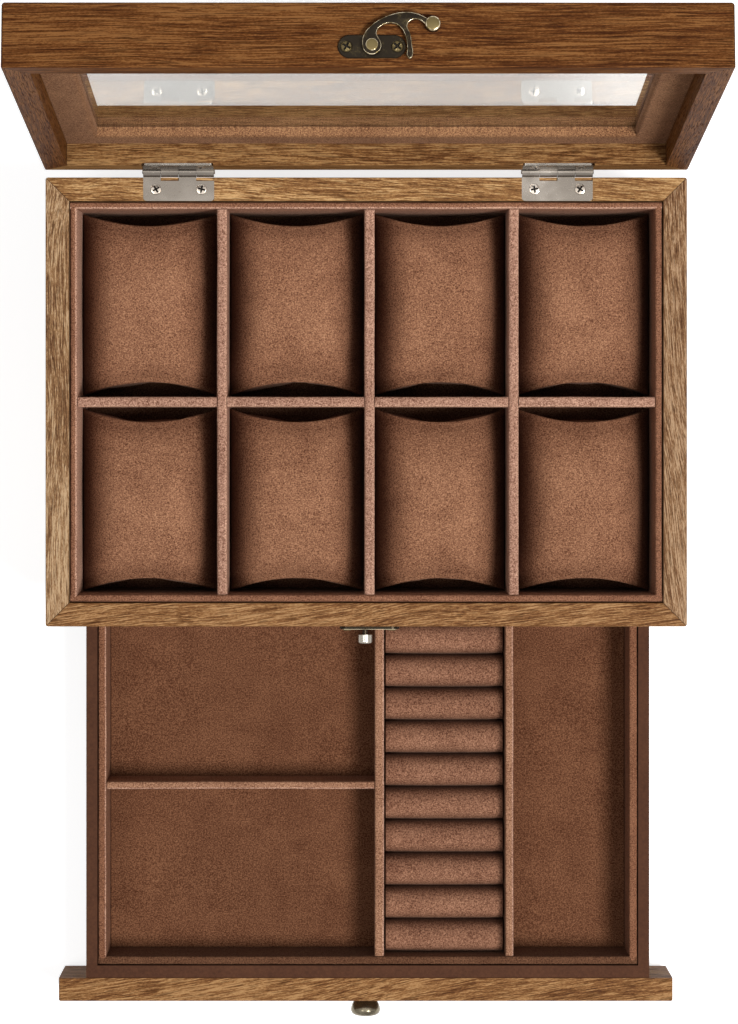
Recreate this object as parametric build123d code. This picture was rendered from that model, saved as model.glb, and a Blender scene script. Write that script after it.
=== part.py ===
from build123d import *
import os
from math import asin, cos, radians, sin

# Watch box with a glass lid, a tray of eight watch pillows and a lined drawer, in millimetres.
# +Z is up, +Y is the rear and the origin is the middle of the underside. The box is modelled
# on show: the lid stands open, the drawer is pulled out and the latch hook is swung up.

# Case and its four mitred walls
case_width = 300.0
case_depth = 210.0
wall = 11.0
upper_height = 74.0
corner_round = 1.2
edge_ease = 0.6
base_thick = 5.0

# Tray in the upper part of the case
tray_floor_thick = 4.0
tray_floor_rise = 2.0
groove_depth = 4.0
groove_play = 0.2
tray_pad_thick = 2.0
tray_liner_thick = 3.2
tray_liner_drop = 1.5
liner_gap = 0.5
divider_thick = 4.8
divider_drop = 1.8
divider_end_gap = 0.2
board_round_share = 0.42
lap_play = 0.1
cross_divider_places = (-67.5, 1.5, 69.0)

# Watch pillows
pillow_height = 58.0
pillow_side_gap = 0.4
pillow_end_gap = 0.7
pillow_draw_in = 6.2
pillow_side_height = 17.0
pillow_end_bulge = 2.6
pillow_end_share = 0.58
pillow_fullness_power = 2.6
pillow_section_shares = (-1, -0.62, 0, 0.62, 1)
soft_gap = 0.3

# Lid
lid_height = 27.5
lid_frame_width = 26.2
lid_round = 1.4
glass_seat = 18.0
glass_thick = 3.0
glass_edge_gap = 1.5
lining_rise = 10.3
lining_side_gap = 0.2
lining_round = 1.8
rim_gap = 0.3
open_angle = 97.5

# Butt hinges
hinge_inset = 61.5
hinge_shift = 0.8
leaf_length = 33.2
leaf_thick = 1.1
leaf_corner = 1.6
leaf_notch = 1.6
knuckle_count = 4
knuckle_play = 0.15
barrel_radius = 2.6
barrel_gap = 0.1
hinge_pin_radius = 1.25
pin_play = 0.05
pin_overhang = 0.4
pin_bevel = 0.3
hinge_screw_spacing = 21.3

# Screws
screw_head_radius = 2.5
screw_shank_radius = 1.1
screw_head_depth = 0.85
screw_length = 9.0
screw_play = 0.05

# Swing hook on the lid
latch_x = 1.5
pivot_rise = 8.6
latch_plate_width = 27.8
latch_plate_height = 9.6
plate_thick = 1.0
plate_bevel = 0.3
plate_screw_spacing = 20.8
plate_screw_dome = 0.6
hook_standoff = 1.2
hook_thick = 1.6
hook_eye_radius = 3.9
hook_ball_radius = 3.2
hook_ball_place = (24.9, 8.8)
hook_ball_lift = 1.05
rivet_radius = 1.6
rivet_head_radius = 2.6
rivet_head_height = 1.2
rivet_shoulder_share = 0.9
rivet_tail = 1.5

# Catch with its stud on the case
stud_x = -0.5
stud_drop = 4.0
catch_plate_height = 7.4
catch_plate_thick = 1.4
stud_neck_radius = 1.2
stud_head_radius = 3.35
stud_head_play = 0.2
stud_reach = 8.1
stud_head_round = 0.9

# Drawer
drawer_front_height = 39.5
drawer_front_thick = 11.3
drawer_front_ease = 0.9
drawer_floor_gap = 0.4
drawer_top_gap = 0.6
drawer_seat_gap = 0.2
drawer_travel = 187.5
drawer_side_play = 1.4
drawer_box_shift = 1.0
drawer_wall = 5.4
subfront_thick = 6.0
drawer_wall_drop = 1.0
rebate_depth = 2.8
drawer_bottom_thick = 3.0
drawer_bottom_rise = 3.0
drawer_groove = 2.5
drawer_liner_thick = 3.8
drawer_liner_drop = 0.6
drawer_pad_thick = 2.0
partition_drop = 1.2
left_partition_x = 6.7
left_partition_thick = 4.6
right_partition_x = 70.3
right_partition_thick = 3.9
cross_partition_place = 83.6
cross_partition_thick = 3.6

# Ring rolls
roll_count = 10
roll_pitch = 16.3
roll_gap = 0.4
roll_height = 21.0
roll_end_gap = 0.4
roll_shoulder = 0.62
roll_cheek = (0.72, 0.7)

# Knob
knob_neck_radius = 3.6
knob_radius = 7.3
knob_reach = 10.7
knob_neck_length = 0.9
knob_flank = (6.2, 3.6)
knob_widest = 6.9
knob_corner = (6.85, 8.6)
knob_shoulder = (5.9, 9.5)
knob_screw_radius = 2.0
knob_screw_play = 0.1
knob_screw_head_radius = 3.8
knob_screw_head_height = 2.2
knob_thread_depth = 6.5

# Levels and places worked out from the sizes above
half_width = case_width / 2
half_depth = case_depth / 2
inner_x = half_width - wall
inner_y = half_depth - wall
drawer_low = base_thick + drawer_floor_gap
drawer_high = drawer_low + drawer_front_height
case_front_low = drawer_high + drawer_top_gap
rim = case_front_low + upper_height
tray_floor_low = case_front_low + tray_floor_rise
tray_floor_high = tray_floor_low + tray_floor_thick
tray_pad_high = tray_floor_high + tray_pad_thick
tray_x = inner_x - liner_gap - tray_liner_thick
tray_y = inner_y - liner_gap - tray_liner_thick
lid_low = rim + rim_gap
lid_high = lid_low + lid_height
glass_low = lid_low + glass_seat - glass_thick
axis_y = half_depth + barrel_gap + barrel_radius
axis_z = rim + rim_gap / 2
hinge_axis = Axis((0, axis_y, axis_z), (1, 0, 0))
hinge_places = [hinge_shift + place for place in (hinge_inset - half_width, half_width - hinge_inset)]
hinge_screw_y = half_depth - wall / 2
latch_face = Plane((latch_x, -half_depth, lid_low + pivot_rise), (1, 0, 0), (0, -1, 0))
catch_face = Plane((latch_x, -half_depth, rim - stud_drop), (1, 0, 0), (0, -1, 0))
stud_face = Plane((stud_x, -half_depth, rim - stud_drop), (1, 0, 0), (0, -1, 0))
spare = 5.0


def block(x, y, z):
    """A box between the two limits given along each axis."""
    size = [high - low for low, high in (x, y, z)]
    middle = [(high + low) / 2 for low, high in (x, y, z)]
    return Pos(*middle) * Box(*size)


def both(limit):
    """The span that reaches as far to each side of the middle."""
    return (-limit, limit)


def mitre_wedge(side, reach):
    """The share of a mitred frame that belongs to one of its sides, cut at 45 degrees."""
    x, y = half_width, half_depth
    out = spare
    outer = {
        "front": [(-x - out, -y - out), (x + out, -y - out)],
        "right": [(x + out, -y - out), (x + out, y + out)],
        "back": [(x + out, y + out), (-x - out, y + out)],
        "left": [(-x - out, y + out), (-x - out, -y - out)],
    }[side]
    step = out + reach
    inset = [
        (px - step if px > 0 else px + step, py - step if py > 0 else py + step)
        for px, py in reversed(outer)
    ]
    outline = Polyline(*outer, *inset, close=True)
    return Pos(0, 0, -spare) * extrude(make_face(outline), lid_high + 2 * spare)


def split_by_mitres(ring, reach):
    """The four sides of a frame, by name."""
    return {side: ring & mitre_wedge(side, reach) for side in ("front", "right", "back", "left")}


def rounded_shell(low, high, top_ease, bottom_ease):
    """The outside of the case or the lid: a box with rounded corners and eased edges."""
    shell = block(both(half_width), both(half_depth), (low, high))
    shell = fillet(shell.edges().filter_by(Axis.Z), corner_round)
    if top_ease:
        shell = fillet(shell.faces().sort_by(Axis.Z)[-1].edges(), top_ease)
    if bottom_ease:
        shell = fillet(shell.faces().sort_by(Axis.Z)[0].edges(), bottom_ease)
    return shell


def soft_board(x, y, z):
    """A velvet-covered board that stands on edge, with its long top edges rounded over."""
    board = block(x, y, z)
    thick = min(x[1] - x[0], y[1] - y[0])
    along = Axis.X if x[1] - x[0] > y[1] - y[0] else Axis.Y
    top = board.faces().sort_by(Axis.Z)[-1].edges().filter_by(along)
    return fillet(top, thick * board_round_share)


def dome_arc(radius, low, height):
    """The outline of a domed head, from its edge to its middle: part of a ball on the axis."""
    ball = (radius**2 + height**2) / (2 * height)
    half_angle = asin(radius / ball) / 2
    middle = (ball * sin(half_angle), low + height - ball + ball * cos(half_angle))
    return ThreePointArc((radius, low), middle, (0, low + height))


def screw(dome):
    """A countersunk wood screw that points down, its head's edge at the origin."""
    r, s, depth = screw_head_radius, screw_shank_radius, screw_head_depth
    crown = dome_arc(r, 0, dome) if dome else Line((r, 0), (0, 0))
    point = [(0, -screw_length), (s, s - screw_length), (s, -depth)]
    outline = crown + Polyline((0, dome), *point, (r, 0))
    return revolve(Plane.XZ * make_face(outline), Axis.Z)


def screw_hole():
    """The countersink and the pilot hole that a screw drives into."""
    r, s = screw_head_radius + screw_play, screw_shank_radius + screw_play
    deep = screw_length + screw_play
    sides = [(r, spare), (r, 0), (s, -screw_head_depth), (s, -deep)]
    outline = Polyline((0, spare), *sides, (0, -deep), close=True)
    return revolve(Plane.XZ * make_face(outline), Axis.Z)


def hinge_screw_spots(facing):
    """Where the hinge screws sit in the rim, facing up on the case and down on the lid."""
    spots = []
    for place in hinge_places:
        for shift in both(hinge_screw_spacing / 2):
            spot = Pos(place + shift, hinge_screw_y, rim if facing == "up" else lid_low)
            spots.append(spot if facing == "up" else spot * Rot(180, 0, 0))
    return spots


def plate_screw_spots(face, thick):
    """Where the two screws of a latch or catch plate sit, on the plate's outer face."""
    return [face * Pos(shift, 0, thick) for shift in both(plate_screw_spacing / 2)]


latch_spots = plate_screw_spots(latch_face, plate_thick)
catch_spots = plate_screw_spots(catch_face, catch_plate_thick)


def case_walls():
    """The mitred walls, grooved for the tray floor and let in for the hinges."""
    ring = rounded_shell(base_thick, rim, 0, 0)
    ring -= block(both(inner_x), both(inner_y), (base_thick - spare, rim + spare))
    ring = fillet(ring.faces().sort_by(Axis.Z)[-1].edges(), edge_ease)
    groove = block(
        both(inner_x + groove_depth),
        both(inner_y + groove_depth),
        (tray_floor_low, tray_floor_high),
    )
    drawer_bay = block(
        both(half_width + spare),
        (-half_depth - spare, -half_depth + drawer_front_thick + drawer_seat_gap),
        (base_thick - spare, case_front_low),
    )
    ring = ring - groove - drawer_bay
    for place in hinge_places:
        ring -= block(
            (place - leaf_length / 2, place + leaf_length / 2),
            (inner_y - spare, half_depth + spare),
            (rim - leaf_thick, rim + spare),
        )
    for spot in hinge_screw_spots("up") + catch_spots:
        ring -= spot * screw_hole()
    ring -= stud_face * Pos(0, 0, -rivet_tail) * Cylinder(rivet_radius + pin_play, 2 * rivet_tail)
    return split_by_mitres(ring, wall + spare)


def base_board():
    """The board under the whole case, on which the drawer slides."""
    return rounded_shell(0, base_thick, 0, edge_ease)


def tray_floor():
    """The board between the tray and the drawer, held in the walls' grooves."""
    reach = groove_depth - groove_play
    return block(both(inner_x + reach), both(inner_y + reach), (tray_floor_low, tray_floor_high))


def lining_boards(x, y, z, thick):
    """Four lined boards that stand inside a rectangle: the long pair full length."""
    (left, right), (front, back) = x, y
    return Compound([
        soft_board((left, right), (front, front + thick), z),
        soft_board((left, right), (back - thick, back), z),
        soft_board((left, left + thick), (front + thick, back - thick), z),
        soft_board((right - thick, right), (front + thick, back - thick), z),
    ])


def tray_liner():
    """Velvet boards round the inside of the tray."""
    return lining_boards(
        both(inner_x - liner_gap),
        both(inner_y - liner_gap),
        (tray_floor_high, rim - tray_liner_drop),
        tray_liner_thick,
    )


def tray_dividers():
    """One long divider and the cross dividers, halved into each other like an egg crate."""
    low, high = tray_pad_high, rim - divider_drop
    middle = (low + high) / 2
    half = divider_thick / 2
    long_divider = soft_board(both(tray_x - divider_end_gap), both(half), (low, high))
    cross = []
    for place in cross_divider_places:
        slot = both(half + lap_play)
        upper_slot = block((place + slot[0], place + slot[1]), both(divider_thick), (middle, high + spare))
        long_divider -= upper_slot
        board = soft_board((place - half, place + half), both(tray_y - divider_end_gap), (low, high))
        lower_slot = block((place - divider_thick, place + divider_thick), slot, (low - spare, middle))
        cross.append(board - lower_slot)
    return long_divider, cross


def pillow_cells():
    """The X span of each column of the tray."""
    half = divider_thick / 2
    left = [-tray_x] + [place + half for place in cross_divider_places]
    right = [place - half for place in cross_divider_places] + [tray_x]
    return list(zip(left, right))


def pillow_section(half_length, half_height):
    """The pillow cut lengthwise: crowned above and below, with bulging ends."""
    end = half_height * pillow_end_share
    tip = half_length + pillow_end_bulge * half_height * 2 / pillow_height
    corners = [(-half_length, end), (half_length, end), (half_length, -end), (-half_length, -end)]
    outline = (
        ThreePointArc(corners[0], (0, half_height), corners[1])
        + ThreePointArc(corners[1], (tip, 0), corners[2])
        + ThreePointArc(corners[2], (0, -half_height), corners[3])
        + ThreePointArc(corners[3], (-tip, 0), corners[0])
    )
    return make_face(outline)


def watch_pillow(cell, row):
    """A watch pillow: full in the middle, flat at its sides, ends drawn in between its corners."""
    left, right = cell
    half_cell = (tray_y - divider_thick / 2) / 2
    corner_length = half_cell - pillow_end_gap
    half_height = pillow_height / 2
    half = (right - left) / 2 - pillow_side_gap
    sections = []
    for share in pillow_section_shares:
        fullness = 1 - abs(share) ** pillow_fullness_power
        height = pillow_side_height / 2 + (half_height - pillow_side_height / 2) * fullness
        bulge = pillow_end_bulge * height / half_height
        length = corner_length - pillow_draw_in * fullness - bulge
        sections.append(Pos(share * half, 0, 0) * (Plane.YZ * pillow_section(length, height)))
    middle_y = row * (tray_y + divider_thick / 2) / 2
    middle_z = tray_pad_high + soft_gap + half_height
    return Pos((left + right) / 2, middle_y, middle_z) * loft(sections)


def lid_rails():
    """The mitred lid frame: rails with a broad top flange, rebated for the glass."""
    ring = rounded_shell(lid_low, lid_high, lid_round, edge_ease)
    ring -= block(both(inner_x), both(inner_y), (lid_low - spare, lid_low + glass_seat))
    window_x, window_y = half_width - lid_frame_width, half_depth - lid_frame_width
    ring -= block(both(window_x), both(window_y), (lid_low, lid_high + spare))
    window_edges = ring.faces().sort_by(Axis.Z)[-1].inner_wires()[0].edges()
    ring = fillet(window_edges, edge_ease)
    for place in hinge_places:
        ring -= block(
            (place - leaf_length / 2, place + leaf_length / 2),
            (inner_y - spare, half_depth + spare),
            (lid_low - spare, lid_low + leaf_thick),
        )
    for spot in hinge_screw_spots("down") + latch_spots:
        ring -= spot * screw_hole()
    ring -= latch_face * Pos(0, 0, -rivet_tail) * Cylinder(rivet_radius + pin_play, 2 * rivet_tail)
    return split_by_mitres(ring, lid_frame_width + spare)


def glass_pane():
    """The pane, held between the flange and the lining strips."""
    return block(
        both(inner_x - glass_edge_gap),
        both(inner_y - glass_edge_gap),
        (glass_low, glass_low + glass_thick),
    )


def lid_lining():
    """Velvet strips that hold the glass up against the flange, mitred at the corners."""
    ring = block(
        both(inner_x - lining_side_gap),
        both(inner_y - lining_side_gap),
        (lid_low + lining_rise, glass_low),
    )
    window = block(
        both(half_width - lid_frame_width),
        both(half_depth - lid_frame_width),
        (lid_low, lid_high),
    )
    ring -= window
    inner_edges = ring.faces().sort_by(Axis.Z)[0].inner_wires()[0].edges()
    ring = fillet(inner_edges, lining_round)
    return Compound(list(split_by_mitres(ring, lid_frame_width + spare).values()))


def knuckle_spans(own):
    """The X spans of a leaf's knuckles along its barrel, taken in turn by the two leaves."""
    step = leaf_length / knuckle_count
    start = -leaf_length / 2
    gap = knuckle_play / 2
    first = 0 if own == "case" else 1
    return [(start + n * step + gap, start + (n + 1) * step - gap) for n in range(first, knuckle_count, 2)]


def barrel(span, radius):
    """A length of round bar along the hinge axis."""
    start, end = span
    return Pos((start + end) / 2, axis_y, axis_z) * Rot(0, 90, 0) * Cylinder(radius, end - start)


def hinge_leaf(own, place):
    """A hinge leaf: a let-in plate that curls round the pin in its knuckles."""
    low = rim - leaf_thick if own == "case" else lid_low
    plate = block(both(leaf_length / 2), (inner_y, half_depth), (low, low + leaf_thick))
    front_corners = plate.edges().filter_by(Axis.Z).group_by(Axis.Y)[0]
    leaf = fillet(front_corners, leaf_corner)
    for left, right in knuckle_spans("lid" if own == "case" else "case"):
        notch_x = (left - knuckle_play, right + knuckle_play)
        leaf -= block(notch_x, (half_depth - leaf_notch, half_depth + spare), (low - spare, low + spare))
    for span in knuckle_spans(own):
        leaf += block(span, (half_depth, axis_y), (low, low + leaf_thick))
        leaf += barrel(span, barrel_radius)
    leaf -= barrel(both(leaf_length), hinge_pin_radius + pin_play)
    leaf = Pos(place, 0, 0) * leaf
    for spot in hinge_screw_spots("up" if own == "case" else "down"):
        leaf -= spot * screw_hole()
    return leaf


def hinge_pin(place):
    """The pin through a hinge's knuckles, with its ends bevelled."""
    pin = barrel(both(leaf_length / 2 + pin_overhang), hinge_pin_radius)
    return Pos(place, 0, 0) * chamfer(pin.edges().filter_by(GeomType.CIRCLE), pin_bevel)


def fixing_plate(face, height, thick, hole_shift):
    """A stadium-shaped plate on the wood with two screw holes and a hole for its rivet."""
    plate = extrude(SlotOverall(latch_plate_width, height), thick)
    plate = chamfer(plate.faces().sort_by(Axis.Z)[-1].edges(), plate_bevel)
    plate -= Pos(hole_shift, 0, 0) * Cylinder(rivet_radius + pin_play, 4 * thick)
    plate = face * plate
    for spot in plate_screw_spots(face, thick):
        plate -= spot * screw_hole()
    return plate


def hook_outline():
    """The swing hook seen from the front: an arch from the eye to the prong, and a tail."""
    back = ThreePointArc((-hook_eye_radius, 0), (3.4, 10.5), (13.3, 13.7))
    tail_top = ThreePointArc((13.3, 13.7), (18.6, 13.2), (23.6, 10.4))
    tail_end = Line((23.6, 10.4), (22.6, 7.4))
    tail_under = ThreePointArc((22.6, 7.4), (18.6, 10.9), (14.2, 8.6))
    prong_out = ThreePointArc((14.2, 8.6), (16.3, 2.0), (16.6, -4.6))
    prong_tip = ThreePointArc((16.6, -4.6), (15.5, -5.7), (14.4, -4.6))
    prong_in = ThreePointArc((14.4, -4.6), (14.35, -1.5), (14.2, 1.6))
    arch = ThreePointArc((14.2, 1.6), (8.2, 9.1), (1.9, 5.4))
    throat = ThreePointArc((1.9, 5.4), (1.8, 3.6), (3.1, 2.3))
    close_eye = Polyline((3.1, 2.3), (0, 0), (-hook_eye_radius, 0))
    tail = tail_top + tail_end + tail_under
    prong = prong_out + prong_tip + prong_in
    return back + tail + prong + arch + throat + close_eye


def latch_hook():
    """The swing hook, with its round eye on the rivet and a ball at the end of its tail."""
    flat = make_face(hook_outline()) + Circle(hook_eye_radius)
    hook = Pos(0, 0, plate_thick + hook_standoff) * extrude(flat, hook_thick)
    ball_middle = plate_thick + hook_standoff + hook_thick / 2 + hook_ball_lift
    hook += Pos(*hook_ball_place, ball_middle) * Sphere(hook_ball_radius)
    hook -= Cylinder(rivet_radius + pin_play, 8 * hook_thick)
    return latch_face * hook


def latch_rivet():
    """The rivet that the hook turns on, with a shoulder that keeps it off the plate."""
    head_low = plate_thick + hook_standoff + hook_thick + pin_play
    head_high = head_low + rivet_head_height
    shoulder_radius = rivet_head_radius * rivet_shoulder_share
    shoulder_high = plate_thick + hook_standoff - pin_play
    stem = Polyline(
        (0, -rivet_tail),
        (rivet_radius, -rivet_tail),
        (rivet_radius, plate_thick),
        (shoulder_radius, plate_thick),
        (shoulder_radius, shoulder_high),
        (rivet_radius, shoulder_high),
        (rivet_radius, head_low),
        (rivet_head_radius, head_low),
    )
    dome = dome_arc(rivet_head_radius, head_low, rivet_head_height)
    outline = stem + dome + Line((0, head_high), (0, -rivet_tail))
    return latch_face * revolve(Plane.XZ * make_face(outline), Axis.Z)


def catch_stud():
    """The stud on the case: a thin neck for the prong and a stout round head."""
    head_low = plate_thick + hook_standoff + hook_thick + stud_head_play
    outline = Polyline(
        (0, -rivet_tail),
        (rivet_radius, -rivet_tail),
        (rivet_radius, catch_plate_thick),
        (stud_neck_radius, catch_plate_thick),
        (stud_neck_radius, head_low),
        (stud_head_radius, head_low),
        (stud_head_radius, stud_reach),
        (0, stud_reach),
        close=True,
    )
    stud = revolve(Plane.XZ * make_face(outline), Axis.Z)
    return stud_face * fillet(stud.faces().sort_by(Axis.Z)[-1].edges(), stud_head_round)


# The drawer is laid out closed, with its front flush with the case, and then pulled out.
box_half = inner_x - drawer_side_play
box_x = (drawer_box_shift - box_half, drawer_box_shift + box_half)
front_back_y = -half_depth + drawer_front_thick
box_inner_front = front_back_y + subfront_thick
liner_front = box_inner_front + liner_gap
bay_front = liner_front + drawer_liner_thick
bay_back = bay_front + roll_count * roll_pitch + roll_gap
liner_back = bay_back + drawer_liner_thick
box_inner_back = liner_back + liner_gap
box_back = box_inner_back + drawer_wall
box_inner_x = (box_x[0] + drawer_wall, box_x[1] - drawer_wall)
liner_x = (box_inner_x[0] + liner_gap, box_inner_x[1] - liner_gap)
bay_x = (liner_x[0] + drawer_liner_thick, liner_x[1] - drawer_liner_thick)
wall_top = drawer_high - drawer_wall_drop
bottom_low = drawer_low + drawer_bottom_rise
bottom_high = bottom_low + drawer_bottom_thick
pad_high = bottom_high + drawer_pad_thick
lining_top = wall_top - drawer_liner_drop
partition_top = wall_top - partition_drop
knob_face = Plane((0, -half_depth, (drawer_low + drawer_high) / 2), (1, 0, 0), (0, -1, 0))
pulled_out = Pos(0, -drawer_travel, 0)


def drawer_front():
    """The full-width drawer front, with eased edges and a hole for the knob's screw."""
    front = block(both(half_width), (-half_depth, front_back_y), (drawer_low, drawer_high))
    face_edges = front.faces().sort_by(Axis.Y)[0].edges()
    upright = front.edges().filter_by(Axis.Y).group_by(Axis.Z)[-1]
    front = fillet(face_edges + upright, drawer_front_ease)
    return front - knob_face * Cylinder(knob_screw_radius + knob_screw_play, 4 * drawer_front_thick)


def drawer_box():
    """The five boards of the drawer box: rebated corners and a grooved-in bottom."""
    bottom = block(
        (box_inner_x[0] - drawer_groove, box_inner_x[1] + drawer_groove),
        (box_inner_front - drawer_groove, box_inner_back + drawer_groove),
        (bottom_low, bottom_high),
    )
    height = (drawer_low, wall_top)
    side_y = (box_inner_front - rebate_depth, box_inner_back + rebate_depth)
    left = block((box_x[0], box_inner_x[0]), side_y, height)
    right = block((box_inner_x[1], box_x[1]), side_y, height)
    subfront = block(box_x, (front_back_y, box_inner_front), height) - left - right
    back = block(box_x, (box_inner_back, box_back), height) - left - right
    screw_room = Cylinder(knob_screw_radius + knob_screw_play, 8 * subfront_thick)
    head_room = Pos(0, 0, -drawer_front_thick - subfront_thick) * Cylinder(
        knob_screw_head_radius + knob_screw_play, 2 * (knob_screw_head_height + knob_screw_play)
    )
    subfront = subfront - knob_face * screw_room - knob_face * head_room
    return {
        "drawer_subfront": subfront - bottom,
        "drawer_left_side": left - bottom,
        "drawer_right_side": right - bottom,
        "drawer_back": back - bottom,
        "drawer_bottom": bottom,
    }


def drawer_lining():
    """Velvet boards round the drawer, the floor pad and the three partitions."""
    left_face = left_partition_x - left_partition_thick / 2
    right_face = right_partition_x - right_partition_thick / 2
    along = (bay_front + divider_end_gap, bay_back - divider_end_gap)
    stand = (pad_high, partition_top)
    cross_y = bay_front + cross_partition_place
    liner = lining_boards(
        liner_x, (liner_front, liner_back), (bottom_high, lining_top), drawer_liner_thick
    )
    return {
        "drawer_liner": liner,
        "drawer_floor_pad": block(bay_x, (bay_front, bay_back), (bottom_high, pad_high)),
        "drawer_left_partition": soft_board((left_face, left_face + left_partition_thick), along, stand),
        "drawer_right_partition": soft_board((right_face, right_face + right_partition_thick), along, stand),
        "drawer_cross_partition": soft_board(
            (bay_x[0] + divider_end_gap, left_face - divider_end_gap),
            (cross_y - cross_partition_thick / 2, cross_y + cross_partition_thick / 2),
            stand,
        ),
    }


def ring_rolls():
    """Padded rolls side by side, between which rings are held: round on top, flat below."""
    half = (roll_pitch - roll_gap) / 2
    shoulder = roll_height * roll_shoulder
    cheek_x = half * roll_cheek[0]
    cheek_z = shoulder + (roll_height - shoulder) * roll_cheek[1]
    outline = (
        Polyline((-half, shoulder), (-half, 0), (half, 0), (half, shoulder))
        + ThreePointArc((half, shoulder), (cheek_x, cheek_z), (0, roll_height))
        + ThreePointArc((0, roll_height), (-cheek_x, cheek_z), (-half, shoulder))
    )
    start = left_partition_x + left_partition_thick / 2 + roll_end_gap
    end = right_partition_x - right_partition_thick / 2 - roll_end_gap
    roll = extrude(Plane.YZ * make_face(outline), end - start)
    return Compound([
        Pos(start, bay_front + roll_gap / 2 + (n + 0.5) * roll_pitch, pad_high + soft_gap) * roll
        for n in range(roll_count)
    ])


def knob():
    """The turned knob: a short neck under a full, bell-shaped head with a shallow dome."""
    neck_top = (knob_neck_radius, knob_neck_length)
    widest = (knob_radius, knob_widest)
    outline = (
        Polyline((0, 0), (knob_neck_radius, 0), neck_top)
        + ThreePointArc(neck_top, knob_flank, widest)
        + ThreePointArc(widest, knob_corner, knob_shoulder)
        + dome_arc(*knob_shoulder, knob_reach - knob_shoulder[1])
        + Line((0, knob_reach), (0, 0))
    )
    body = revolve(Plane.XZ * make_face(outline), Axis.Z)
    thread = Cylinder(knob_screw_radius + knob_screw_play, 2 * knob_thread_depth)
    return knob_face * (body - thread)


def knob_screw():
    """The machine screw from inside the drawer into the knob."""
    head_low = -drawer_front_thick - subfront_thick
    shank_low = head_low + knob_screw_head_height
    head = Pos(0, 0, (head_low + shank_low) / 2) * Cylinder(knob_screw_head_radius, knob_screw_head_height)
    tip = knob_thread_depth - knob_screw_play
    shank = Pos(0, 0, (shank_low + tip) / 2) * Cylinder(knob_screw_radius, tip - shank_low)
    return knob_face * (head + shank)


def opened(shape):
    """Swings a piece of the closed lid up to where the lid stands open."""
    return shape.rotate(hinge_axis, -open_angle)


parts = {"base_board": base_board(), "tray_floor": tray_floor(), "tray_liner": tray_liner()}
parts.update({f"case_{side}": piece for side, piece in case_walls().items()})
parts["tray_floor_pad"] = block(both(tray_x), both(tray_y), (tray_floor_high, tray_pad_high))
long_divider, cross_dividers = tray_dividers()
parts["tray_long_divider"] = long_divider
for number, divider in enumerate(cross_dividers, 1):
    parts[f"tray_cross_divider_{number}"] = divider
for row_name, row in (("rear", 1), ("front", -1)):
    for number, cell in enumerate(pillow_cells(), 1):
        parts[f"watch_pillow_{row_name}_{number}"] = watch_pillow(cell, row)

for name, place in zip(("left", "right"), hinge_places):
    parts[f"hinge_{name}_case_leaf"] = hinge_leaf("case", place)
    parts[f"hinge_{name}_lid_leaf"] = opened(hinge_leaf("lid", place))
    parts[f"hinge_{name}_pin"] = hinge_pin(place)
parts["hinge_case_screws"] = Compound([spot * screw(0) for spot in hinge_screw_spots("up")])
parts["hinge_lid_screws"] = opened(Compound([spot * screw(0) for spot in hinge_screw_spots("down")]))

parts.update({f"lid_{side}": opened(piece) for side, piece in lid_rails().items()})
parts["lid_glass"] = opened(glass_pane())
parts["lid_lining"] = opened(lid_lining())
parts["latch_plate"] = opened(fixing_plate(latch_face, latch_plate_height, plate_thick, 0))
parts["latch_screws"] = opened(Compound([spot * screw(plate_screw_dome) for spot in latch_spots]))
parts["latch_rivet"] = opened(latch_rivet())
parts["latch_hook"] = opened(latch_hook())
parts["catch_plate"] = fixing_plate(catch_face, catch_plate_height, catch_plate_thick, stud_x - latch_x)
parts["catch_screws"] = Compound([spot * screw(plate_screw_dome) for spot in catch_spots])
parts["catch_stud"] = catch_stud()

drawer = {"drawer_front": drawer_front(), "drawer_knob": knob(), "drawer_knob_screw": knob_screw()}
drawer["ring_rolls"] = ring_rolls()
drawer.update(drawer_box())
drawer.update(drawer_lining())
parts.update({name: pulled_out * piece for name, piece in drawer.items()})

os.makedirs("parts", exist_ok=True)
for name, shape in parts.items():
    export_step(shape, f"parts/{name}.step")

# Joint axes for the record: the lid's hinge line and the hook's pivot with the lid open
hook_middle = plate_thick + hook_standoff + hook_thick / 2
pivot = opened(latch_face * Pos(0, 0, hook_middle) * Sphere(1)).center()
print("hinge axis y z", axis_y, axis_z, "rim", rim)
print("hook pivot", pivot.X, pivot.Y, pivot.Z, "axis", 0, -cos(radians(open_angle)), sin(radians(open_angle)))
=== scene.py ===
import math

import bmesh
import bpy
from mathutils import Matrix, Vector, noise


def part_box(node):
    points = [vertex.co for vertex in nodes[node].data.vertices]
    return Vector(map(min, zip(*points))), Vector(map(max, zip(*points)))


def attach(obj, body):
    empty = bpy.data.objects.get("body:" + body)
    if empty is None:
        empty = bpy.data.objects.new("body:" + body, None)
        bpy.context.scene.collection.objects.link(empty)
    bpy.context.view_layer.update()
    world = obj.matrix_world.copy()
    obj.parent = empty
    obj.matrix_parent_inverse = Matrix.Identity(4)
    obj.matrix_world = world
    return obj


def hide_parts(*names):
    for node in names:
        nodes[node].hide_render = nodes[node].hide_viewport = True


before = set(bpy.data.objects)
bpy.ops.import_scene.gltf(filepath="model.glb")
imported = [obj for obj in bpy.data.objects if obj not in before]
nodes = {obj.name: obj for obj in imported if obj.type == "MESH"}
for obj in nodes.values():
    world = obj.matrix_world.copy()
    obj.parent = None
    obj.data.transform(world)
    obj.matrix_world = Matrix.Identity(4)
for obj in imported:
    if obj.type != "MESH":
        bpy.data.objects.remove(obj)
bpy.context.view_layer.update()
mm = 0.001
tiny = 1e-6                                     # in metres, what counts as no distance
print("frame loaded,", len(nodes), "nodes")


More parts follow.
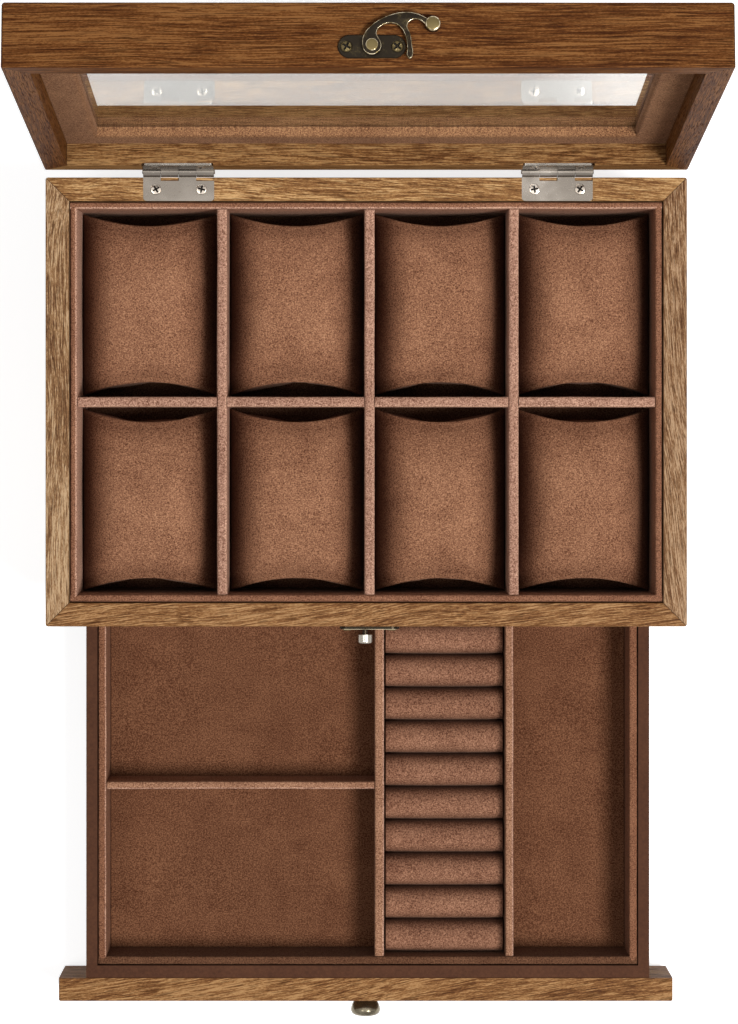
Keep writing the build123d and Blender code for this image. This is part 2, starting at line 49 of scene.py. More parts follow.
# where things stand
lid = {"openAngle": math.radians(-97.5), "hinge": Vector((0, 107.7, 119.65)) * mm}
case = {"halfWidth": 150 * mm, "halfDepth": 105 * mm, "rim": 119.5 * mm, "lidLow": 119.8 * mm}

swingOpen = (
    Matrix.Translation(lid["hinge"])
    @ Matrix.Rotation(lid["openAngle"], 4, "X")
    @ Matrix.Translation(-lid["hinge"])
)
swingShut = swingOpen.inverted()


# materials
class Wire:                                     # a node socket that can be used in sums
    def __init__(self, paint, socket):
        self.paint, self.socket = paint, socket

    def other(self, name):                      # another output of the same node
        return Wire(self.paint, self.socket.node.outputs[name])

    def maths(self, operation, first, second):
        return self.paint.node("ShaderNodeMath", {"operation": operation}, {0: first, 1: second})

    def __add__(self, other):
        return self.maths("ADD", self, other)

    def __radd__(self, other):
        return self.maths("ADD", other, self)

    def __sub__(self, other):
        return self.maths("SUBTRACT", self, other)

    def __rsub__(self, other):
        return self.maths("SUBTRACT", other, self)

    def __mul__(self, other):
        return self.maths("MULTIPLY", self, other)

    def __rmul__(self, other):
        return self.maths("MULTIPLY", other, self)

    def __gt__(self, other):
        return self.maths("GREATER_THAN", self, other)

    def __abs__(self):
        return self.maths("ABSOLUTE", self, 0.0)


class Paint:                                    # the nodes of one material, or of the world
    def __init__(self, owner):
        self.owner = owner
        owner.use_nodes = True
        self.tree = owner.node_tree
        self.tree.nodes.clear()

    def node(self, kind, settings=None, sockets=None, output=0):
        made = self.tree.nodes.new(kind)
        for key, value in (settings or {}).items():
            if key == "stops":
                ramp = made.color_ramp.elements
                while len(ramp) < len(value):
                    ramp.new(0.5)
                for stop, (place, shade) in zip(ramp, value):
                    stop.position, stop.color = place, (*shade, 1)
            else:
                setattr(made, key, value)
        for key, value in (sockets or {}).items():
            if isinstance(value, Wire):
                self.tree.links.new(value.socket, made.inputs[key])
            else:
                made.inputs[key].default_value = value
        return Wire(self, made.outputs[output]) if len(made.outputs) else None

    def spots(self, vector, scale, detail=2.0, distortion=0.0, roughness=0.5):
        return self.node("ShaderNodeTexNoise", {}, {
            "Vector": vector, "Scale": scale, "Detail": detail,
            "Distortion": distortion, "Roughness": roughness})

    def mix(self, share, first, second, blend="MIX"):       # sockets 6, 7 and 2 are the ones for colours
        return self.node("ShaderNodeMix", {"data_type": "RGBA", "blend_type": blend}, {
            "Factor": share, 6: first, 7: second}, output=2)

    def ramp(self, share, look):
        stops = [(place, look[shade]) for shade, place in look["stops"].items()]
        return self.node("ShaderNodeValToRGB", {"stops": stops}, {"Fac": share})

    def split(self, vector, axis):
        return self.node("ShaderNodeSeparateXYZ", {}, {"Vector": vector}, output=axis)

    def squeeze(self, vector, x, y, z):
        return self.node("ShaderNodeMapping", {}, {"Vector": vector, "Scale": (x, y, z)})

    def soften(self, value, low, high, to=(0.0, 1.0)):
        return self.node("ShaderNodeMapRange", {"interpolation_type": "SMOOTHSTEP"}, {
            "Value": value, "From Min": low, "From Max": high, "To Min": to[0], "To Max": to[1]})

    def bump(self, height, strength, depth):
        return self.node("ShaderNodeBump", {}, {
            "Height": height, "Strength": strength, "Distance": depth})

    def surface(self, **sockets):
        named = {key.replace("_", " "): value for key, value in sockets.items()}
        shader = self.node("ShaderNodeBsdfPrincipled", {}, named)
        self.node("ShaderNodeOutputMaterial", {}, {"Surface": shader})
        return self.owner


def newPaint(name):                             # a material's nodes, and the place on the object they read
    paint = Paint(bpy.data.materials.new(name))
    return paint, paint.node("ShaderNodeTexCoord", output="Object")


def colour(red, green, blue):
    return (red, green, blue, 1.0)


# in every look, a layer of spots is its scale, detail, distortion and roughness
woodLook = {
    "darkest": (0.070, 0.026, 0.009),
    "dark": (0.155, 0.066, 0.024),
    "middle": (0.265, 0.132, 0.052),
    "light": (0.440, 0.262, 0.128),
    "stops": {"darkest": 0.66, "dark": 0.79, "middle": 0.90, "light": 1.0},
    "pore": (0.045, 0.016, 0.006),
    "glue": (0.020, 0.008, 0.003),
    "waves": (10, 1),
    "waveHeight": (0, 13 * mm, 10 * mm),
    "lidWaveHeight": (0, 3 * mm, 4 * mm),
    "bands": (0.12, 75, 3, 0.8, 0.5),           # wood's layers start with their squeeze along the board
    "streaks": (0.050, 640, 3, 0.4, 0.60),
    "lines": (0.040, 1850, 2, 0.1, 0.65),
    "flecks": (0.30, 2300, 2, 0.0, 0.7),
    "pores": (0.060, 2100, 1, 0.0, 0.5),
    "shares": {"bands": 0.42, "streaks": 0.18, "lines": 0.90, "flecks": 0.44},
    "shift": -0.08,
    "poreEdge": (0.56, 0.64),
    "poreDepth": 0.55,
    "levelAbove": 0.7,
    "jointEdge": (0.10 * mm, 0.32 * mm),
    "jointDepth": 0.8,
    "roughness": 0.46,
    "specular": 0.06,
    "bump": (0.35, 0.3 * mm),
}


def woodFinish(name, turn, start, tint=(1, 1, 1), onLid=False, mitred=True, stretch=1.0, lean=0):
    look = woodLook
    paint, place = newPaint(name)
    if onLid:                                   # back to where the board lies with the lid shut
        place = paint.node("ShaderNodeMapping", {}, {
            "Vector": place, "Location": tuple(swingShut.to_translation()),
            "Rotation": (-lid["openAngle"], 0, 0)})
    upward = paint.split(paint.node("ShaderNodeNewGeometry", output="Normal"), "Z")
    leaning = (upward > look["levelAbove"]) * math.radians(lean)    # the grain leans on the rims alone
    cut = paint.node("ShaderNodeVectorRotate", {"rotation_type": "Z_AXIS"}, {
        "Vector": place, "Angle": leaning})
    straight = paint.node("ShaderNodeMapping", {}, {
        "Vector": cut, "Location": start, "Rotation": (0, 0, math.radians(turn))})
    board = paint.node("ShaderNodeVectorMath", {"operation": "MULTIPLY_ADD"}, {
        0: paint.spots(straight, *look["waves"]),
        1: look["lidWaveHeight" if onLid else "waveHeight"], 2: straight})

    def layer(key, drawnOut=1.0):
        along, *spots = look[key]
        return paint.spots(paint.squeeze(board, along / drawnOut, 1, 1), *spots)

    bands, flecks = layer("bands"), layer("flecks")
    streaks, lines = layer("streaks", stretch), layer("lines", stretch)
    pores = paint.soften(layer("pores", stretch), *look["poreEdge"])
    share = look["shares"]
    figure = (bands * share["bands"] + streaks * share["streaks"] + lines * share["lines"]
              + flecks * share["flecks"] + look["shift"])
    stained = paint.mix(pores * look["poreDepth"], paint.ramp(figure, look), colour(*look["pore"]))
    toned = paint.mix(1.0, stained, colour(*tint), "MULTIPLY")
    if mitred:
        x = paint.split(place, "X")
        corner = abs(abs(x) - abs(x.other("Y")) - (case["halfWidth"] - case["halfDepth"]))
        joint = paint.soften(corner, *look["jointEdge"], (look["jointDepth"], 0.0))
        toned = paint.mix(joint, toned, colour(*look["glue"]))
    return paint.surface(
        Base_Color=toned,
        Roughness=look["roughness"] + flecks * 0.16 + pores * 0.2,
        Specular_IOR_Level=look["specular"],
        Normal=paint.bump(streaks * 0.4 + lines * 0.5 + flecks * 0.3 - pores * 0.8, *look["bump"]),
    )


velvetLook = {
    "shade": (0.120, 0.040, 0.021),
    "light": (0.500, 0.245, 0.150),
    "glint": (0.720, 0.410, 0.250),
    "stops": {"shade": 0.54, "light": 0.86, "glint": 1.0},
    "nap": (1500, 3, 0.2, 0.72),
    "tufts": (620, 2),
    "brushed": (46, 3, 0.8),
    "shares": {"nap": 1.12, "tufts": 0.10, "brushed": 0.18},
    "roughness": 0.95,
    "specular": 0.05,
    "sheen": 0.08,
    "sheenRoughness": 0.38,
    "sheenTint": (1.0, 0.62, 0.46),
    "bump": (0.5, 0.5 * mm),
}


def velvetFinish(name, tint=(1, 1, 1), shadeTint=None):
    look = velvetLook
    paint, place = newPaint(name)
    nap = paint.spots(place, *look["nap"])
    tufts = paint.spots(place, *look["tufts"])
    brushed = paint.spots(place, *look["brushed"])
    share = look["shares"]
    pile = nap * share["nap"] + tufts * share["tufts"] + brushed * share["brushed"]
    dyed = paint.mix(1.0, paint.ramp(pile, look), colour(*tint), "MULTIPLY")
    if shadeTint:                                 # painted shade: each vertex's stored light level darkens the pile toward the shade tint, at a pillow's sides and ends and at a roll's back
        paintedLight = paint.node("ShaderNodeAttribute", {"attribute_name": "pileStands"}, output="Fac")
        dyed = paint.mix(1.0, dyed, paint.mix(paintedLight, colour(*shadeTint), colour(1, 1, 1)), "MULTIPLY")
    return paint.surface(
        Base_Color=dyed,
        Roughness=look["roughness"] - nap * 0.10,
        Specular_IOR_Level=look["specular"],
        Sheen_Weight=look["sheen"],
        Sheen_Roughness=look["sheenRoughness"],
        Sheen_Tint=colour(*look["sheenTint"]),
        Normal=paint.bump(nap * 0.8 + tufts * 0.5, *look["bump"]),
    )


darkBoardLook = {"dark": (0.024, 0.008, 0.005), "light": (0.135, 0.056, 0.029), "squeeze": (0.5, 0.5, 1),
                 "fibres": (1400, 3, 0.3, 0.6), "cloud": (60, 2), "roughness": 0.66, "specular": 0.08,
                 "bump": (0.2, 0.2 * mm)}


def darkBoardFinish(name):
    look = darkBoardLook
    paint, place = newPaint(name)
    fibres = paint.spots(paint.squeeze(place, *look["squeeze"]), *look["fibres"])
    cloud = paint.spots(place, *look["cloud"])
    return paint.surface(
        Base_Color=paint.mix(fibres * 0.7 + cloud * 0.3, colour(*look["dark"]), colour(*look["light"])),
        Roughness=look["roughness"] + fibres * 0.2,
        Specular_IOR_Level=look["specular"],
        Normal=paint.bump(fibres, *look["bump"]),
    )


nickelLook = {"pale": (0.330, 0.292, 0.252), "dull": (0.180, 0.154, 0.128), "squeeze": (0.05, 1, 1),
              "brushed": (4200, 2), "haze": (45, 2, 0.4), "hazeEdge": (0.36, 0.64),
              "marks": (900, 3, 1.2), "markEdge": (0.60, 0.72), "roughness": 0.13, "bump": (0.08, 0.1 * mm)}


def nickelFinish(name, bright=1.0):
    look = nickelLook
    paint, place = newPaint(name)
    brushed = paint.spots(paint.squeeze(place, *look["squeeze"]), *look["brushed"])
    haze = paint.spots(place, *look["haze"])
    marks = paint.soften(paint.spots(place, *look["marks"]), *look["markEdge"])
    # the large soft haze is painted reflection, pale and dark patches standing in for reflected surroundings;
    # the fine marks are real smudges of tarnish
    reflectionAndTarnish = paint.soften(haze, *look["hazeEdge"]) * 0.8 + marks * 0.3
    pale, dull = (colour(*(part * bright for part in look[key])) for key in ("pale", "dull"))
    return paint.surface(
        Base_Color=paint.mix(reflectionAndTarnish, pale, dull),
        Metallic=1.0,
        Roughness=look["roughness"] + brushed * 0.10 + marks * 0.2,
        Normal=paint.bump(brushed + haze * 0.5, *look["bump"]),
    )


slotLook = {"dark": (0.006, 0.005, 0.004), "light": (0.030, 0.024, 0.018), "crossMottle": (1400, 2),
            "roughness": 0.8, "specular": 0.1}


def slotFinish(name):                           # near-black, mottled colour inside a screw's cross
    look = slotLook
    paint, place = newPaint(name)
    crossMottle = paint.spots(place, *look["crossMottle"])
    return paint.surface(
        Base_Color=paint.mix(crossMottle, colour(*look["dark"]), colour(*look["light"])),
        Roughness=look["roughness"],
        Specular_IOR_Level=look["specular"],
    )


bronzeLook = {"dark": (0.020, 0.015, 0.010), "olive": (0.150, 0.112, 0.048), "bright": (0.72, 0.61, 0.42),
              "edgeLine": 0.35 * mm, "upperEdge": 0.5, "cloud": (210, 3, 0.5), "specks": (1700, 3, 0.2, 0.65),
              "coatEdge": (0.52, 0.92), "rubs": (420, 3, 0.4), "rubEdge": (0.36, 0.60),
              "scratches": (1500, 2), "bump": (0.16, 0.12 * mm), "fineBump": (0.12, 0.1 * mm),
              "rubBump": (0.10, 0.1 * mm)}


def bronzeFinish(name, brightening=0.0, roughness=0.36, olive=bronzeLook["olive"]):
    look = bronzeLook
    paint, place = newPaint(name)
    cloud = paint.spots(place, *look["cloud"])
    specks = paint.spots(place, *look["specks"])
    wear = paint.soften(cloud * 0.55 + specks * 0.5 + brightening, *look["coatEdge"])
    return paint.surface(
        Base_Color=paint.mix(wear, colour(*look["dark"]), colour(*olive)),
        Metallic=0.95,
        Roughness=roughness - wear * 0.08 + specks * 0.14,
        Normal=paint.bump(specks + cloud * 0.4, *look["bump"]),
    )


def catchFinish(name, neck, bright, above=False):   # beyond the neck the colour is bright, behind it dark: on the stud the dark neck is painted shadow, on the plate the bright top edge is wear and painted highlight
    look = bronzeLook
    paint, place = newPaint(name)
    specks = paint.spots(place, *look["specks"])
    front = -case["halfDepth"] - neck
    brightening = paint.soften(paint.split(place, "Y"), front, front + look["edgeLine"], (1.0, 0.0))
    if above:                                   # on a plate only faces turned upward, toward the light, stay bright: wear and painted highlight
        upward = paint.split(paint.node("ShaderNodeNewGeometry", output="Normal"), "Z")
        brightening = brightening * (upward > look["upperEdge"])
    return paint.surface(
        Base_Color=paint.mix(brightening, colour(*look["dark"]), colour(*bright)),
        Metallic=1.0,
        Roughness=0.20 + specks * 0.16,
        Normal=paint.bump(specks, *look["fineBump"]),
    )


def edgeWearAndHighlightFinish(name):                     # bright brass where the dark coat is worn off the edges; on the hook's and rivet's bevels it is also the painted highlight of their rounded rims
    look = bronzeLook
    paint, place = newPaint(name)
    wear = paint.soften(paint.spots(place, *look["rubs"]), *look["rubEdge"])
    return paint.surface(
        Base_Color=paint.mix(wear, colour(*look["olive"]), colour(*look["bright"])),
        Metallic=1.0,
        Roughness=0.30 - wear * 0.08,
        Normal=paint.bump(paint.spots(place, *look["scratches"]), *look["rubBump"]),
    )


glassLook = {"tint": (0.965, 0.985, 0.975), "squeeze": (1, 0.3, 1), "wipe": (55, 3, 1.0),
             "roughness": 0.002, "wipeRoughness": 0.006, "bend": 1.5}


def glassFinish(name):
    look = glassLook
    paint, place = newPaint(name)
    wipe = paint.spots(paint.squeeze(place, *look["squeeze"]), *look["wipe"])
    return paint.surface(
        Base_Color=colour(*look["tint"]),
        Roughness=look["roughness"] + wipe * look["wipeRoughness"],
        IOR=look["bend"],
        Transmission_Weight=1.0,
    )


finishes = {
    "woodFront": woodFinish("woodFront", 0, (0.13, 0.21, 0.0), (0.92, 0.85, 0.76), lean=-7),
    "woodBack": woodFinish("woodBack", 0, (0.71, 0.05, 0.3), (1.24, 1.27, 1.16), lean=3),
    "woodLeft": woodFinish("woodLeft", 90, (0.37, 0.62, 0.1), (1.14, 1.28, 1.50)),
    "woodRight": woodFinish("woodRight", 90, (1.05, 0.33, 0.5), (0.94, 1.00, 1.17), lean=-6),
    "woodBase": woodFinish("woodBase", 0, (1.60, 0.40, 0.9), (0.9, 0.9, 0.9), mitred=False),
    "woodDrawer": woodFinish("woodDrawer", 0, (2.30, 0.80, 0.2), (0.94, 0.86, 0.73), mitred=False, lean=-9),
    "lidFront": woodFinish("lidFront", 1, (0.42, 1.10, 0.7), (0.50, 0.355, 0.215), onLid=True, stretch=1.9),
    "lidBack": woodFinish("lidBack", -2, (3.10, 0.27, 0.4), (0.74, 0.68, 0.54), onLid=True, stretch=1.3),
    "lidLeft": woodFinish("lidLeft", 90, (0.88, 0.16, 1.3), (0.44, 0.30, 0.17), onLid=True),
    "lidRight": woodFinish("lidRight", 90, (1.93, 0.71, 1.9), (0.44, 0.30, 0.17), onLid=True),
    "velvetEdge": velvetFinish("velvetEdge", (1.10, 1.28, 1.46)),
    "velvetPartition": velvetFinish("velvetPartition", (0.99, 1.09, 1.07)),
    # the next two are lighter and darker copies of the velvet: painted highlight and painted shade on the
    # boards' edges and faces
    "velvetHighlight": velvetFinish("velvetHighlight", (1.36, 1.66, 1.90)),
    "velvetShade": velvetFinish("velvetShade", (0.36, 0.35, 0.31)),
    "velvetTray": velvetFinish("velvetTray", (0.72, 0.70, 0.66)),
    "velvetDrawer": velvetFinish("velvetDrawer", (0.66, 0.62, 0.56)),
    "velvetLid": velvetFinish("velvetLid", (0.74, 0.78, 0.62)),
    "velvetPillow": velvetFinish("velvetPillow", (0.82, 0.83, 0.76), (0.15, 0.078, 0.058)),
    "velvetRolls": velvetFinish("velvetRolls", (0.86, 0.89, 0.89), (0.26, 0.22, 0.20)),
    "velvetTrayFloor": velvetFinish("velvetTrayFloor", (0.40, 0.38, 0.36)),
    "velvetFloor": velvetFinish("velvetFloor", (0.465, 0.42, 0.35)),
    "board": darkBoardFinish("darkBoard"),
    "nickel": nickelFinish("nickel"),
    "nickelBright": nickelFinish("nickelScrews", 2.1),
    "slot": slotFinish("screwSlots"),
    "bronzeScrew": bronzeFinish("antiqueBronzeScrews", 0.30),
    "bronze": bronzeFinish("antiqueBronze"),
    "bronzeRubbed": bronzeFinish("antiqueBronzeRubbed", 0.40),
    "bronzeEdge": edgeWearAndHighlightFinish("antiqueBronzeEdge"),
    "bronzeKnob": bronzeFinish("antiqueBronzeKnob", 0.30, 0.20, (0.200, 0.170, 0.115)),
    "plate": catchFinish("catchPlate", 1.4 * mm, bronzeLook["bright"], above=True),
    "stud": catchFinish("catchStud", 4.1 * mm, (0.36, 0.33, 0.28)),
    "glass": glassFinish("glass"),
}

nodeFinish = {
    "base_board": "woodBase", "case_front": "woodFront", "case_back": "woodBack",
    "case_left": "woodLeft", "case_right": "woodRight", "drawer_front": "woodDrawer",
    "lid_front": "lidFront", "lid_back": "lidBack", "lid_left": "lidLeft", "lid_right": "lidRight",
    "tray_floor": "board", "drawer_subfront": "board", "drawer_left_side": "board",
    "drawer_right_side": "board", "drawer_back": "board", "drawer_bottom": "board",
    "lid_glass": "glass", "latch_plate": "bronze", "catch_plate": "plate", "catch_stud": "stud",
    "drawer_knob": "bronzeKnob", "drawer_knob_screw": "nickelBright",
    "hinge_left_case_leaf": "nickel", "hinge_left_lid_leaf": "nickel", "hinge_left_pin": "nickel",
    "hinge_right_case_leaf": "nickel", "hinge_right_lid_leaf": "nickel", "hinge_right_pin": "nickel",
}
for node, finish in nodeFinish.items():
    if not nodes[node].material_slots:
        nodes[node].data.materials.append(None)
    for materialSlot in nodes[node].material_slots:
        materialSlot.material = finishes[finish]
print("finishes made,", len(finishes))


# shared ways of making pieces
def addPiece(name, shape, body, finish, sharp=40, more=()):
    mesh = bpy.data.meshes.new(name)
    shape.to_mesh(mesh)
    shape.free()
    for used in (finish, *more):
        mesh.materials.append(finishes[used])
    mesh.shade_smooth()
    mesh.set_sharp_from_angle(angle=math.radians(sharp))
    piece = bpy.data.objects.new(name, mesh)
    bpy.context.collection.objects.link(piece)
    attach(piece, body)
    return piece


driftShifts = (Vector((9.3, -1.5, -8.0)), Vector((0, 0, 0)), Vector((6.3, 0.2, -2.7)))


def drift(place):                               # three plain noises, the same in every run
    return Vector([noise.noise(place + shift) for shift in driftShifts])


def wobble(bm, amount, length, lowest):
    for vert in bm.verts:                       # cloth never lies dead straight over a board
        if vert.co.z > lowest:
            vert.co += drift(vert.co / length) * amount


def cutAt(bm, axis, along):
    place, facing = Vector(), Vector()
    place[axis], facing[axis] = along, 1
    bmesh.ops.bisect_plane(bm, geom=bm.verts[:] + bm.edges[:] + bm.faces[:],
                           plane_co=place, plane_no=facing)


def cutInto(bm, axis, low, high, parts):
    for cut in range(1, parts):
        cutAt(bm, axis, low + cut * (high - low) / parts)


def cutAcross(bm, axis, low, high, step):
    cutInto(bm, axis, low, high, int((high - low) / step))


def addBoard(bm, outline, axis, start, thick, rounding, segments=5):
    other = 1 - axis                            # the outline runs along one axis and up Z
    corners = []
    for along, up in outline:
        spot = [0, 0, up]
        spot[axis], spot[other] = along, start
        corners.append(bm.verts.new(spot))
    made = bmesh.ops.extrude_face_region(bm, geom=[bm.faces.new(corners)], use_keep_orig=True)
    moved = [item for item in made["geom"] if isinstance(item, bmesh.types.BMVert)]
    shift = [0, 0, 0]
    shift[other] = thick
    bmesh.ops.translate(bm, verts=moved, vec=shift)
    top = max(up for _, up in outline)
    own = set(corners + moved)
    rims = [edge for edge in bm.edges if set(edge.verts) <= own
            and all(abs(vert.co.z - top) < tiny for vert in edge.verts)
            and abs(edge.verts[0].co[other] - edge.verts[1].co[other]) < tiny]
    bmesh.ops.bevel(bm, geom=rims, affect="EDGES", offset=rounding, segments=segments,
                    profile=0.5, material=-1)


def plain(low, high, bottom, top):
    return [(low, bottom), (high, bottom), (high, top), (low, top)]


# velvet boards round the tray and the drawer
boards = {
    "cutStep": 12 * mm, "wobble": 0.16 * mm, "wobbleLength": 22 * mm, "wobbleDepth": 12 * mm,
    "linerThick": 3.2 * mm, "linerRound": 1.35 * mm, "cornerLap": 0.55,
    "dividerThick": 4.8 * mm, "dividerRound": 1.5 * mm, "notchPlay": 0.1 * mm,
    # where the boards get their painted highlight and painted shade
    "highlightUp": 0.25, "highlightTurn": 0.30, "upright": 0.7, "leftBeyond": 120 * mm,
    "frontDark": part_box("drawer_liner")[0].y + 4 * mm,
    "drawerLinerThick": 3.8 * mm, "drawerLinerRound": 0.9 * mm, "partitionRound": 1.1 * mm,
}


def finishBoards(bm, name, body, finish, node):
    look = boards
    cadLow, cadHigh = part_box(node)
    bmesh.ops.recalc_face_normals(bm, faces=bm.faces[:])
    for axis in (0, 1):
        cutAcross(bm, axis, cadLow[axis], cadHigh[axis], look["cutStep"])
    wobble(bm, look["wobble"], look["wobbleLength"], cadHigh.z - look["wobbleDepth"])
    tray, drawer = node == "tray_liner", node == "drawer_liner"
    highlighted, shaded = 1, 2                         # the piece's second and third materials
    for face in bm.faces:                       # painted highlight: edges turned up and toward the right and front, where the key lamp falls, and the tray liner's left inner face take a lighter copy of the velvet; painted shade: the drawer liner's front board takes a darker copy
        facing, spot = face.normal, face.calc_center_median()
        inward = (cadLow + cadHigh) / 2 - spot
        if (facing.z > look["highlightUp"] and facing.x - facing.y > look["highlightTurn"]
                and (not (tray or drawer) or facing.xy.dot(inward.xy) > 0)):
            face.material_index = highlighted
        elif tray and facing.x > look["upright"] and inward.x > look["leftBeyond"]:
            face.material_index = highlighted
        elif drawer and spot.y < look["frontDark"]:
            face.material_index = shaded
    piece = addPiece(name, bm, body, finish, more=["velvetHighlight", "velvetShade"])
    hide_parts(node)


def linedFrame(name, node, body, finish, thick, rounding):
    low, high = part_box(node)
    bm = bmesh.new()
    long = plain(low.x, high.x, low.z, high.z)
    lap = thick * boards["cornerLap"]
    short = plain(low.y + lap, high.y - lap, low.z, high.z)
    addBoard(bm, long, 0, low.y, thick, rounding)
    addBoard(bm, long, 0, high.y - thick, thick, rounding)
    addBoard(bm, short, 1, low.x, thick, rounding)
    addBoard(bm, short, 1, high.x - thick, thick, rounding)
    finishBoards(bm, name, body, finish, node)


linedFrame("trayLiner", "tray_liner", "case", "velvetTray", boards["linerThick"], boards["linerRound"])
linedFrame("drawerLiner", "drawer_liner", "drawer", "velvetDrawer",
           boards["drawerLinerThick"], boards["drawerLinerRound"])

low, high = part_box("tray_long_divider")
crossPlaces = [sum(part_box(f"tray_cross_divider_{n}"), Vector()).x / 2 for n in (1, 2, 3)]
middleUp = (low.z + high.z) / 2
notch = boards["dividerThick"] / 2 + boards["notchPlay"]
outline = [(low.x, low.z), (high.x, low.z), (high.x, high.z)]
for place in reversed(crossPlaces):
    outline += [(place + notch, high.z), (place + notch, middleUp),
                (place - notch, middleUp), (place - notch, high.z)]
outline.append((low.x, high.z))
bm = bmesh.new()
addBoard(bm, outline, 0, low.y, high.y - low.y, boards["dividerRound"])
finishBoards(bm, "trayLongDivider", "case", "velvetEdge", "tray_long_divider")

for number in (1, 2, 3):
    node = f"tray_cross_divider_{number}"
    low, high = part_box(node)
    outline = [(low.y, low.z), (-notch, low.z), (-notch, middleUp), (notch, middleUp),
               (notch, low.z), (high.y, low.z), (high.y, high.z), (low.y, high.z)]
    bm = bmesh.new()
    addBoard(bm, outline, 1, low.x, high.x - low.x, boards["dividerRound"])
    finishBoards(bm, f"trayCrossDivider{number}", "case", "velvetEdge", node)

for name, axis in (("left", 1), ("right", 1), ("cross", 0)):
    node = f"drawer_{name}_partition"
    low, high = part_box(node)
    bm = bmesh.new()
    addBoard(bm, plain(low[axis], high[axis], low.z, high.z), axis, low[1 - axis],
             high[1 - axis] - low[1 - axis], boards["partitionRound"])
    finishBoards(bm, f"drawer{name.title()}Partition", "drawer", "velvetPartition", node)
print("velvet boards made")


# lid lining, drawn with the lid shut and swung open
lining = {"low": 130.1 * mm, "high": 134.8 * mm, "outerX": 138.8 * mm, "outerY": 93.8 * mm,
          "innerX": 123.8 * mm, "innerY": 78.8 * mm, "round": 1.8 * mm,
          "wobble": 0.1 * mm, "wobbleLength": 18 * mm}
bm = bmesh.new()
ring = {}
for key in ("outer", "inner"):
    x, y = lining[key + "X"], lining[key + "Y"]
    ring[key] = [bm.verts.new((x * right, y * back, lining["low"]))
                 for right, back in ((-1, -1), (1, -1), (1, 1), (-1, 1))]
for n in range(4):
    m = (n + 1) % 4
    bm.faces.new((ring["outer"][n], ring["outer"][m], ring["inner"][m], ring["inner"][n]))
made = bmesh.ops.extrude_face_region(bm, geom=bm.faces[:], use_keep_orig=True)
moved = [item for item in made["geom"] if isinstance(item, bmesh.types.BMVert)]
bmesh.ops.translate(bm, verts=moved, vec=(0, 0, lining["high"] - lining["low"]))
lowInner = [edge for edge in bm.edges if all(vert in ring["inner"] for vert in edge.verts)]
bmesh.ops.bevel(bm, geom=lowInner, affect="EDGES", offset=lining["round"], segments=5,
                profile=0.5, material=-1)
bmesh.ops.recalc_face_normals(bm, faces=bm.faces[:])
cutAcross(bm, 0, -lining["outerX"], lining["outerX"], boards["cutStep"])
cutAcross(bm, 1, -lining["outerY"], lining["outerY"], boards["cutStep"])
wobble(bm, lining["wobble"], lining["wobbleLength"], 0)
bmesh.ops.transform(bm, matrix=swingOpen, verts=bm.verts[:])
piece = addPiece("lidLining", bm, "lid", "velvetLid")
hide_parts("lid_lining")


# floor pads
pads = {"step": 7 * mm, "round": 0.8 * mm, "wave": 0.25 * mm, "waveLength": 34 * mm,
        "settle": 0.15 * mm, "fill": 0.9}


def floorPad(name, node, body, finish):
    low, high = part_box(node)
    bm = bmesh.new()
    bmesh.ops.create_cube(bm, size=1)
    bmesh.ops.scale(bm, vec=high - low, verts=bm.verts[:])
    bmesh.ops.translate(bm, vec=(low + high) / 2, verts=bm.verts[:])
    rims = [edge for edge in bm.edges if all(vert.co.z > high.z - tiny for vert in edge.verts)]
    bmesh.ops.bevel(bm, geom=rims, affect="EDGES", offset=pads["round"], segments=4,
                    profile=0.5, material=-1)
    for axis in (0, 1):
        cutAcross(bm, axis, low[axis], high[axis], pads["step"])
    for vert in bm.verts:
        if vert.co.z > high.z - tiny:
            vert.co.z += noise.noise(vert.co / pads["waveLength"]) * pads["wave"] - pads["settle"]
    piece = addPiece(name, bm, body, finish)
    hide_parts(node)


floorPad("trayFloorPad", "tray_floor_pad", "case", "velvetTrayFloor")
floorPad("drawerFloorPad", "drawer_floor_pad", "drawer", "velvetFloor")
print("pads and lining made")


# watch pillows and ring rolls, swollen by a cloth simulation
cloth = {"frames": 20, "quality": 5, "mass": 0.15}
pillows = {"parts": (22, 26, 7), "onEdge": 0.999, "sideHeight": 9 * mm, "fullness": 4.2, "drawIn": 6.4 * mm,
           "endShare": 0.56, "seamOut": 0.35 * mm, "seamCrease": 0.55,
           "wobble": 0.35 * mm, "wobbleLength": 17 * mm,
           # the side, end and seam entries on this line set the pile's painted shade and the seam's painted
           # highlight
           "sideShade": 0.40, "sideFall": 1.8, "endShade": 13 * mm, "endFall": 0.55, "seamShade": (0.85, 0.5),
           "tuck": 0.25 * mm, "cap": 1.6 * mm, "pressure": 4.0, "fill": 0.85,
           "spill": (0.25 * mm, 0.4 * mm, 0.8 * mm)}
rolls = {"count": 10, "pitch": 16.3 * mm, "gap": 0.3 * mm, "round": 6.2 * mm, "cut": 2.6 * mm,
         # the back and drop entries on this line set each roll's painted shade
         "hem": 0.7 * mm, "backShade": 0.62, "backFall": 1.6, "dropShade": 0.6,
         "tuck": 0.5 * mm, "cap": 1.1 * mm, "pressure": 4.0, "fill": 0.9,
         "spill": (0.15 * mm, 0.2 * mm, 0.6 * mm)}


def softObject(name, shape):
    mesh = bpy.data.meshes.new(name)
    shape.to_mesh(mesh)
    shape.free()
    piece = bpy.data.objects.new(name, mesh)
    bpy.context.collection.objects.link(piece)
    return piece


